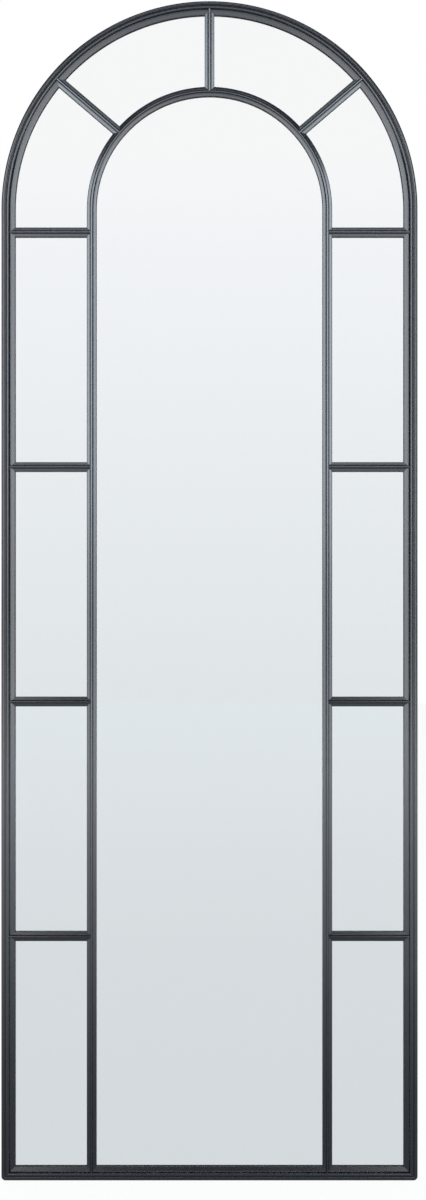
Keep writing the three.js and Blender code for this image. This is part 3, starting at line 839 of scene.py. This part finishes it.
def wall_bumper():
    """A round rubber buffer on the z axis, with a soft edge and a shallow moulded rim at its foot."""
    top = BUMPER_RADIUS - BUMPER_TAPER
    profile = [
        (0, 0),
        (BUMPER_RADIUS - BUMPER_FOOT_CHAMFER, 0),
        (BUMPER_RADIUS, BUMPER_FOOT_CHAMFER),
        (BUMPER_RADIUS, BUMPER_RIM_HEIGHT),
        (BUMPER_RADIUS - BUMPER_RIM_STEP, BUMPER_RIM_HEIGHT + BUMPER_RIM_STEP),
        *arc(top - BUMPER_EDGE, BUMPER_HEIGHT - BUMPER_EDGE, BUMPER_EDGE, BUMPER_EDGE_START, 90, 6),
        (0, BUMPER_HEIGHT),
    ]
    return lathe(profile, BUMPER_SIDES)


# ---------------------------------------------------------------- material nodes

class Nodes:
    """Short calls for making a material's node tree."""

    def __init__(self, tree):
        self.tree = tree
        tree.nodes.clear()

    def fill(self, node, inputs):
        """Links each input, by name or number, to a socket, or sets it to a number or a colour."""
        for key, value in inputs.items():
            socket = node.inputs[key]
            if isinstance(value, bpy.types.NodeSocket):
                self.tree.links.new(value, socket)
            elif isinstance(value, tuple):
                socket.default_value = (*value, 1)
            else:
                socket.default_value = value

    def add(self, kind, inputs=None, **settings):
        node = self.tree.nodes.new(kind)
        for name, value in settings.items():
            setattr(node, name, value)
        self.fill(node, inputs or {})
        return node

    def noise(self, place, scale, detail=3.0, roughness=0.5):
        inputs = {"Vector": place, "Scale": scale, "Detail": detail, "Roughness": roughness}
        return self.add("ShaderNodeTexNoise", inputs).outputs["Fac"]

    def ramp(self, value, stops):
        node = self.add("ShaderNodeValToRGB", {"Fac": value})
        elements = node.color_ramp.elements
        while len(elements) < len(stops):
            elements.new(0.5)
        for element, (position, colour) in zip(elements, stops):
            element.position = position
            element.color = (*colour, 1)
        return node.outputs["Color"]

    def span(self, value, low, high, from_low=0.0, from_high=1.0):
        """The value stretched from one range to another, and kept within it."""
        inputs = {"Value": value, "To Min": low, "To Max": high}
        inputs |= {"From Min": from_low, "From Max": from_high}
        return self.add("ShaderNodeMapRange", inputs).outputs["Result"]

    def mix(self, factor, first, second):
        """A mix of two colours, which are the node's inputs 6 and 7."""
        inputs = {0: factor, 6: first, 7: second}
        return self.add("ShaderNodeMix", inputs, data_type="RGBA").outputs[2]

    def combine(self, first, second, operation="ADD"):
        inputs = {0: first, 1: second}
        return self.add("ShaderNodeMath", inputs, operation=operation).outputs[0]

    def bump(self, height, distance, strength, before=None):
        inputs = {"Height": height, "Distance": distance, "Strength": strength}
        if before is not None:
            inputs["Normal"] = before
        return self.add("ShaderNodeBump", inputs).outputs["Normal"]

    def glow(self, colour=(1, 1, 1), strength=1.0):
        inputs = {"Color": colour, "Strength": strength}
        return self.add("ShaderNodeEmission", inputs).outputs[0]

    def blend(self, share, first, second):
        """A mix of two shaders."""
        return self.add("ShaderNodeMixShader", {0: share, 1: first, 2: second}).outputs[0]


def finish_material(name):
    """An empty material with its shader, output and object coordinates."""
    material = bpy.data.materials.new(name)
    material.use_nodes = True
    nodes = Nodes(material.node_tree)
    shader = nodes.add("ShaderNodeBsdfPrincipled")
    nodes.add("ShaderNodeOutputMaterial", {"Surface": shader.outputs["BSDF"]})
    place = nodes.add("ShaderNodeTexCoord").outputs["Object"]
    return material, nodes, shader, place


def black_paint():
    """Satin black stoved paint: fine orange peel, softer gloss in the hollows, and rubbed crests whose
    lighter colour is also a painted highlight.
    """
    material, nodes, shader, place = finish_material("satin_black_paint")
    wear_and_sheen = nodes.add("ShaderNodeAttribute", attribute_name="wear_and_sheen").outputs["Fac"]
    cloud = nodes.noise(place, 9, 4)
    speck = nodes.noise(place, 700, 2)
    ground = nodes.mix(cloud, (0.0026, 0.0034, 0.0052), (0.0042, 0.0052, 0.0080))
    # Crests get a lighter, bluish base colour: edge wear, and a painted highlight along the crests.
    rubbed_and_highlit = nodes.span(wear_and_sheen, 0.0, 1.0, 0.45, 1.0)
    wear_and_highlight_lift = nodes.combine(rubbed_and_highlit, nodes.span(speck, 0.2, 1.0, 0.35, 0.65), "MULTIPLY")
    mottle = nodes.span(nodes.noise(place, 160, 3), -0.03, 0.03)
    peel = nodes.bump(nodes.noise(place, 650, 2, 0.4), 0.000016, 0.35)
    nodes.fill(shader, {
        # The lighter colour is the crests' wear and their painted highlight.
        "Base Color": nodes.mix(wear_and_highlight_lift, ground, (0.0105, 0.0125, 0.0175)),
        "Roughness": nodes.combine(nodes.span(wear_and_sheen, 0.21, 0.15), mottle),
        "Normal": nodes.bump(nodes.noise(place, 2600, 1), 0.000006, 0.3, peel),
        "IOR": 1.54,
    })
    return material


def clear_glass():
    """The front of float glass, with a trace of unevenness."""
    material, nodes, shader, place = finish_material("clear_float_glass")
    nodes.fill(shader, {
        "Transmission Weight": 1.0,
        "Roughness": 0.0,
        "IOR": 1.52,
        "Base Color": (0.994, 1.0, 0.998),
        "Normal": nodes.bump(nodes.noise(place, 5, 1), 0.00002, 0.2),
    })
    return material


def silver():
    """The silver coat behind the glass, very slightly uneven in tone and haze."""
    material, nodes, shader, place = finish_material("silver_coat")
    tone = nodes.noise(place, 2.2, 2)
    nodes.fill(shader, {
        "Metallic": 1.0,
        "Base Color": nodes.mix(tone, (0.952, 0.962, 0.966), (0.962, 0.971, 0.975)),
        "Roughness": nodes.span(nodes.noise(place, 14, 3), 0.003, 0.010),
    })
    return material


def glass_edge():
    """The ground, greenish edge of a pane."""
    material, nodes, shader, place = finish_material("ground_glass_edge")
    streaks = nodes.noise(place, 1200, 2)
    nodes.fill(shader, {
        "Base Color": nodes.mix(streaks, (0.05, 0.16, 0.12), (0.12, 0.28, 0.22)),
        "Roughness": nodes.span(streaks, 0.25, 0.5),
        "Normal": nodes.bump(streaks, 0.00002, 0.4),
    })
    return material


def backing_paint():
    """The grey protective paint on the rear of the silver."""
    material, nodes, shader, place = finish_material("grey_backing_paint")
    cloud = nodes.noise(place, 60, 4)
    nodes.fill(shader, {
        "Base Color": nodes.mix(cloud, (0.17, 0.19, 0.20), (0.22, 0.24, 0.25)),
        "Roughness": nodes.span(cloud, 0.5, 0.65),
        "Normal": nodes.bump(nodes.noise(place, 1500, 2), 0.00002, 0.4),
    })
    return material


def fibreboard(name, dark, light):
    """Pressed fibreboard: short tangled fibres over broad clouds of tone."""
    material, nodes, shader, place = finish_material(name)
    cloud = nodes.noise(place, 7, 5, 0.6)
    fleck = nodes.noise(place, 420, 4, 0.7)
    fibre = nodes.noise(place, 1500, 3, 0.7)
    bright = tuple(1.55 * part for part in light)
    deep = tuple(0.45 * part for part in dark)
    ground = nodes.mix(nodes.span(cloud, 0, 1, 0.3, 0.7), dark, light)
    flecked = nodes.mix(nodes.span(fleck, 0, 0.55, 0.52, 0.75), ground, bright)
    nodes.fill(shader, {
        "Base Color": nodes.mix(nodes.span(fibre, 0.5, 0, 0.28, 0.48), flecked, deep),
        "Roughness": nodes.span(fleck, 0.72, 0.9),
        "Normal": nodes.bump(fibre, 0.00006, 0.5, nodes.bump(fleck, 0.0001, 0.4)),
    })
    return material


def zinc_plate():
    """Bright zinc on pressed steel: fine crystals in its gloss and a cool and warm bloom."""
    material, nodes, shader, place = finish_material("bright_zinc")
    bloom = nodes.noise(place, 180, 4)
    cells = nodes.add("ShaderNodeTexVoronoi", {"Scale": 900, "Vector": place})
    grain = nodes.span(cells.outputs["Distance"], 0.24, 0.42)
    nodes.fill(shader, {
        "Metallic": 1.0,
        "Base Color": nodes.mix(bloom, (0.50, 0.52, 0.55), (0.66, 0.65, 0.62)),
        "Roughness": nodes.combine(grain, nodes.span(bloom, -0.05, 0.06)),
        "Normal": nodes.bump(nodes.noise(place, 2200, 2), 0.00001, 0.35),
    })
    return material


def black_rubber():
    """Matt black rubber with a little dust."""
    material, nodes, shader, place = finish_material("matt_black_rubber")
    dust = nodes.noise(place, 500, 4)
    share = nodes.span(dust, 0, 1, 0.35, 0.75)
    nodes.fill(shader, {
        "Base Color": nodes.mix(share, (0.014, 0.014, 0.015), (0.035, 0.034, 0.033)),
        "Roughness": nodes.span(dust, 0.62, 0.85),
        "Normal": nodes.bump(nodes.noise(place, 1800, 2), 0.00003, 0.5),
    })
    return material


# ---------------------------------------------------------------- stage

# The photograph in pixels, with the middle of the mirror in it
PHOTO_WIDTH = 426
PHOTO_HEIGHT = 1200
PHOTO_CENTRE_X = 209.5
PHOTO_CENTRE_Y = 590.7
METRES_PER_PIXEL = 1.4415 * MM
CAMERA_DISTANCE = 3.0
CAMERA_REACH = 100
SENSOR_SIZE = 36
FLOOR_RADIUS = 14.0
FLOOR_SIDES = 96


def make_camera():
    """Square to the mirror, as high as the middle of the photograph."""
    data = bpy.data.cameras.new("camera")
    data.sensor_fit = "VERTICAL"
    data.sensor_height = data.sensor_width = SENSOR_SIZE
    data.lens = data.sensor_height * CAMERA_DISTANCE / (PHOTO_HEIGHT * METRES_PER_PIXEL)
    data.clip_end = CAMERA_REACH
    camera = bpy.data.objects.new("camera", data)
    aim_x = (PHOTO_WIDTH / 2 - PHOTO_CENTRE_X) * METRES_PER_PIXEL
    aim_z = MIRROR_HEIGHT / 2 + (PHOTO_CENTRE_Y - PHOTO_HEIGHT / 2) * METRES_PER_PIXEL
    outline_y = GLASS_Y - (RIM_HEIGHT - RIM_RADIUS)
    camera.location = (aim_x, outline_y - CAMERA_DISTANCE, aim_z)
    camera.rotation_euler = (math.radians(90), 0, 0)
    bpy.context.scene.collection.objects.link(camera)
    bpy.context.scene.camera = camera


# What the stage shows in a shiny thing is given by tones. On the floor they run from the mirror's
# foot at 0 to the floor's rim at 1. The panes show these in all:
FLOOR_SEEN = (
    (0.00, (0.655, 0.684, 0.705)),
    (0.03, (0.659, 0.688, 0.709)),
    (0.08, (0.667, 0.696, 0.718)),
    (0.12, (0.671, 0.700, 0.722)),
    (0.18, (0.684, 0.713, 0.735)),
    (0.26, (0.696, 0.727, 0.749)),
    (0.33, (0.706, 0.739, 0.762)),
    (0.40, (0.716, 0.751, 0.774)),
    (0.47, (0.721, 0.756, 0.781)),
    (0.54, (0.725, 0.761, 0.789)),
    (0.62, (0.730, 0.766, 0.793)),
    (0.70, (0.735, 0.772, 0.796)),
    (1.00, (0.742, 0.780, 0.804)),
)
# The surround in the silver, from straight down at 0 to straight up at 1
STUDIO_IN_PANES = (
    (0.48, (0.812, 0.838, 0.854)),
    (0.50, (0.838, 0.864, 0.882)),
    (0.53, (0.876, 0.898, 0.915)),
    (0.56, (0.930, 0.940, 0.966)),
    (0.585, (0.962, 0.968, 0.985)),
    (0.605, (1.000, 1.000, 1.000)),
)
# The floor in the gloss of paint, metal and glass, as shares of the strengths below
FLOOR_IN_PAINT = (
    (0.00, (0.114, 0.123, 0.132)),
    (0.03, (0.121, 0.130, 0.139)),
    (0.08, (0.191, 0.205, 0.219)),
    (0.12, (0.272, 0.293, 0.314)),
    (0.18, (0.412, 0.443, 0.474)),
    (0.26, (0.465, 0.500, 0.535)),
    (0.33, (0.634, 0.682, 0.730)),
    (0.40, (0.761, 0.818, 0.875)),
    (0.47, (0.845, 0.909, 0.973)),
    (0.54, (0.739, 0.795, 0.851)),
    (0.62, (0.550, 0.591, 0.632)),
    (0.70, (0.444, 0.477, 0.510)),
    (1.00, (0.296, 0.318, 0.340)),
)
# It glows like a lit studio's in front of the mirror, and plainly from this far behind it.
FRONT_FLOOR_STRENGTH = 4.4
REAR_FLOOR_STRENGTH = 1.2
REAR_FLOOR_START = 0.5

# A pane adds the gloss of its glass front to what its silver mirrors.
GLASS_GLOSS = 0.043
SILVER_SHARE = 0.905


def mirrored_by_silver(seen, in_gloss):
    """What the silver has to mirror of the floor for the pane to show the tone that is seen."""
    gloss = GLASS_GLOSS * FRONT_FLOOR_STRENGTH
    return tuple((whole - gloss * part) / SILVER_SHARE for whole, part in zip(seen, in_gloss))


FLOOR_IN_PANES = tuple(
    (share, mirrored_by_silver(seen, in_gloss))
    for (share, seen), (_, in_gloss) in zip(FLOOR_SEEN, FLOOR_IN_PAINT)
)
# The surround in the same gloss, from straight ahead of the mirror at 0 to straight behind it at 1:
# a dim room in front and a pale wall behind
ROOM_IN_PAINT = (
    (0.45, (0.20, 0.21, 0.23)),
    (0.55, (0.25, 0.26, 0.28)),
    (0.70, (1.08, 1.11, 1.15)),
)
# The light of the surround on everything that isn't shiny
AMBIENT = (0.44, 0.45, 0.47)

# How much of the floor's look is plain white for the camera; the rest takes light and shadow.
FLOOR_WHITENESS = 0.93


def make_floor():
    """A pale floor, which the camera sees as white but for a soft shadow."""
    bm = bmesh.new()
    bmesh.ops.create_circle(bm, cap_ends=True, segments=FLOOR_SIDES, radius=FLOOR_RADIUS)
    floor = object_of("floor", bm)
    material = bpy.data.materials.new("pale_floor")
    material.use_nodes = True
    nodes = Nodes(material.node_tree)
    place = nodes.add("ShaderNodeTexCoord").outputs["Object"]
    distance = nodes.add("ShaderNodeVectorMath", {0: place}, operation="LENGTH")
    share = nodes.span(distance.outputs["Value"], 0, 1, 0, FLOOR_RADIUS)
    rearward = nodes.add("ShaderNodeSeparateXYZ", {0: place}).outputs["Y"]
    strength = nodes.span(
        rearward, FRONT_FLOOR_STRENGTH, REAR_FLOOR_STRENGTH, 0, REAR_FLOOR_START
    )
    tone = nodes.mix(nodes.noise(place, 40, 3), (0.78, 0.79, 0.80), (0.80, 0.81, 0.82))
    seen_by = nodes.add("ShaderNodeLightPath").outputs
    white = nodes.combine(seen_by["Is Camera Ray"], FLOOR_WHITENESS, "MULTIPLY")
    in_paint = nodes.glow(nodes.ramp(share, FLOOR_IN_PAINT), strength)
    in_panes = nodes.glow(nodes.ramp(share, FLOOR_IN_PANES))
    result = nodes.add("ShaderNodeBsdfDiffuse", {"Color": tone}).outputs[0]
    result = nodes.blend(white, result, nodes.glow())
    result = nodes.blend(seen_by["Is Glossy Ray"], result, in_paint)
    result = nodes.blend(seen_by["Is Transmission Ray"], result, in_panes)
    nodes.add("ShaderNodeOutputMaterial", {"Surface": result})
    floor.data.materials.append(material)


def make_studio():
    """White for the camera, soft light for the rest, and what shiny things mirror of the room."""
    world = bpy.data.worlds.new("studio")
    bpy.context.scene.world = world
    world.use_nodes = True
    nodes = Nodes(world.node_tree)
    direction = nodes.add("ShaderNodeTexCoord").outputs["Generated"]
    axes = nodes.add("ShaderNodeSeparateXYZ", {0: direction}).outputs
    in_panes = nodes.ramp(nodes.span(axes["Z"], 0, 1, -1, 1), STUDIO_IN_PANES)
    in_paint = nodes.ramp(nodes.span(axes["Y"], 0, 1, -1, 1), ROOM_IN_PAINT)
    seen_by = nodes.add("ShaderNodeLightPath").outputs
    colour = nodes.mix(seen_by["Is Glossy Ray"], AMBIENT, in_paint)
    colour = nodes.mix(seen_by["Is Transmission Ray"], colour, in_panes)
    colour = nodes.mix(seen_by["Is Camera Ray"], colour, (1, 1, 1))
    background = nodes.add("ShaderNodeBackground", {"Color": colour})
    nodes.add("ShaderNodeOutputWorld", {"Surface": background.outputs[0]})


def make_lamp(name, place, aim, size, power, colour=(1, 1, 1)):
    """A soft box. It isn't seen through glass, so it doesn't show in the silver behind a pane."""
    data = bpy.data.lights.new(name, "AREA")
    data.shape = "RECTANGLE"
    data.size, data.size_y = size
    data.energy = power
    data.color = colour
    lamp = bpy.data.objects.new(name, data)
    lamp.location = place
    lamp.rotation_euler = (Vector(aim) - Vector(place)).to_track_quat("-Z", "Y").to_euler()
    lamp.visible_transmission = False
    bpy.context.scene.collection.objects.link(lamp)
    return lamp


COOL = (0.80, 0.90, 1.00)


def level_lamp(name, x, y, z, size, power, colour=(1, 1, 1)):
    """A soft box that faces the middle of the mirror's width, at its own height."""
    return make_lamp(name, (x, y, z), (0, 0, z), size, power, colour)


def make_lamps():
    """Bright boxes at the front sides, which the flanges mirror, and dim ones below and between.

    The front and top boxes light what faces up, and the rear ones the back. Each has a place, a
    point or height that it faces, its width and height, and its power in watts.
    """
    lamps = [
        make_lamp("front_softbox", (0, -3.5, 3.4), (0, 0, 1.0), (1.6, 0.7), 22, COOL),
        make_lamp("top_softbox", (0, 1.0, 3.2), (0, 0, 0.8), (2.4, 1.0), 32),
    ]
    for word, side in SIDES:
        lamps += [
            level_lamp(f"softbox_{word}", side * 2.05, -3.85, 2.0, (1.5, 2.0), 94, COOL),
            level_lamp(f"low_softbox_{word}", side * 2.05, -3.85, 0.6, (1.5, 0.8), 15, COOL),
            level_lamp(f"fill_{word}", side * 1.03, -4.25, 1.6, (0.68, 2.8), 23),
            make_lamp(f"rear_softbox_{word}", (side * 1.9, 2.6, 2.0), (0, 0, 0.9), (2.4, 2.4), 26),
        ]
    return lamps


def keep_out_of_gloss(lamps, pieces):
    """Keeps the lamps off some pieces, so that these mirror only the floor and the surround."""
    left_out = bpy.data.collections.new("pieces_without_lamps")
    for piece in pieces:
        left_out.objects.link(piece)
    for entry in left_out.collection_objects:
        entry.light_linking.link_state = "EXCLUDE"
    for lamp in lamps:
        lamp.light_linking.receiver_collection = left_out


# ---------------------------------------------------------------- assembly

bpy.context.scene.view_settings.view_transform = "Standard"
make_camera()
make_floor()
make_studio()
lamps = make_lamps()

paint = black_paint()
pane_materials = [clear_glass(), glass_edge(), backing_paint(), silver()]
board_face = fibreboard("fibreboard_face", (0.25, 0.15, 0.08), (0.34, 0.215, 0.12))
board_edge = fibreboard("fibreboard_edge", (0.17, 0.10, 0.05), (0.25, 0.15, 0.08))
zinc = zinc_plate()
rubber = black_rubber()


def painted(name, bm, *replaced):
    return make_piece(name, bm, [paint], replaced=replaced)


painted("head_moulding", head_moulding(), "outer_head_arch")
painted("bottom_rail_moulding", rail_moulding(), "outer_bottom_rail")
painted("inner_head_bar", inner_head_bar(), "inner_head_arch")
painted("crown_glazing_bar", head_bar(math.pi / 2), "crown_bar")

bar_heights = [box_centre(f"side_bar_left_{row + 1}").z for row in range(SIDE_ROWS)]
for word, side in SIDES:
    painted(f"stile_moulding_{word}", stile_moulding(side), f"outer_stile_{word}")
    painted(f"inner_stile_bar_{word}", inner_stile_bar(side), f"inner_stile_{word}")
    angle = DIAGONAL_ANGLE if side > 0 else math.pi - DIAGONAL_ANGLE
    painted(f"diagonal_glazing_bar_{word}", head_bar(angle), f"diagonal_bar_{word}")
    for row, height in enumerate(bar_heights):
        label = f"{word}_{row + 1}"
        painted(f"side_glazing_bar_{label}", side_bar(side, height), f"side_bar_{label}")


panes = []


def silvered(name, outline, *replaced):
    bm = silvered_pane(outline)
    panes.append(make_piece(name, bm, pane_materials, replaced=replaced))


silvered(
    "centre_glass",
    arch_outline(INNER_HALF_WIDTH - PANE_TO_BAR, PANE_EDGE),
    "mirror_pane_centre",
)
for word, side in SIDES:
    for row in range(SIDE_ROWS):
        label = f"{word}_{row + 1}"
        outline = side_pane_outline(side, row, bar_heights)
        silvered(f"side_glass_{label}", outline, f"mirror_pane_{label}")
    for level, is_upper in (("lower", False), ("upper", True)):
        label = f"head_{level}_{word}"
        silvered(f"glass_{label}", head_pane_outline(side, is_upper), f"mirror_pane_{label}")

keep_out_of_gloss(lamps, panes)

board_low, board_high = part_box("back_board")
board_outline = arch_outline(board_high.x, board_low.z)
board = plate(board_outline, board_low.y, board_high.y - board_low.y, BOARD_ARRIS)
board_finish = [board_face, board_edge, board_face]
make_piece("fibreboard_back", board, board_finish, replaced=["back_board"])

screw_master = screw_shape()


def placed_screw(name, node, inset_u, sheet):
    """A screw in the rear face, inset_u from the outer edge, with its head on a fitting's sheet."""
    bm = screw_master.copy()
    centre = box_centre(node)
    seat = Matrix.Translation((inset_u, 0, 2 * SEAT_GAP + sheet))
    spin = Matrix.Rotation(centre.z * SCREW_SPIN, 4, "Z")
    bmesh.ops.transform(bm, matrix=rear_place(centre) @ seat @ spin, verts=bm.verts)
    make_piece(name, bm, [zinc], replaced=[node])


def pressed(name, bm, node, body="mirror"):
    make_piece(name, bm, [zinc], body=body, replaced=[node])


SCREW_START = "board_clip_screw_"
for screw_node in sorted(name for name in frame["nodes"] if name.startswith(SCREW_START)):
    spot = screw_node.removeprefix(SCREW_START)
    clip = board_clip(rear_place(box_centre(screw_node)))
    pressed(f"pressed_clip_{spot}", clip, f"board_clip_{spot}")
    placed_screw(f"clip_pan_screw_{spot}", screw_node, TUBE_WIDTH / 2, CLIP_SHEET)

ring_axis = {joint["child"]: Vector(joint["pos_m"]) for joint in frame["joints"]}
for word, side in SIDES:
    ring = f"ring_{word}"
    axis = ring_axis[ring]
    pressed(f"rolled_strap_{word}", hanger_strap(axis), f"hanger_strap_{word}")
    pressed(f"wire_ring_{word}", hanger_ring(axis), f"hanger_{ring}", body=ring)
    for number in (1, 2):
        label = f"screw_{word}_{number}"
        inset_u = HALF_WIDTH - abs(axis.x)
        placed_screw(f"strap_pan_{label}", f"hanger_{label}", inset_u, STRAP_SHEET)
    for level in ("lower", "upper"):
        node = f"wall_bumper_{level}_{word}"
        bm = wall_bumper()
        place = rear_place(box_centre(node)) @ Matrix.Translation((TUBE_WIDTH / 2, 0, SEAT_GAP))
        bmesh.ops.transform(bm, matrix=place, verts=bm.verts)
        make_piece(f"rubber_bumper_{level}_{word}", bm, [rubber], replaced=[node])
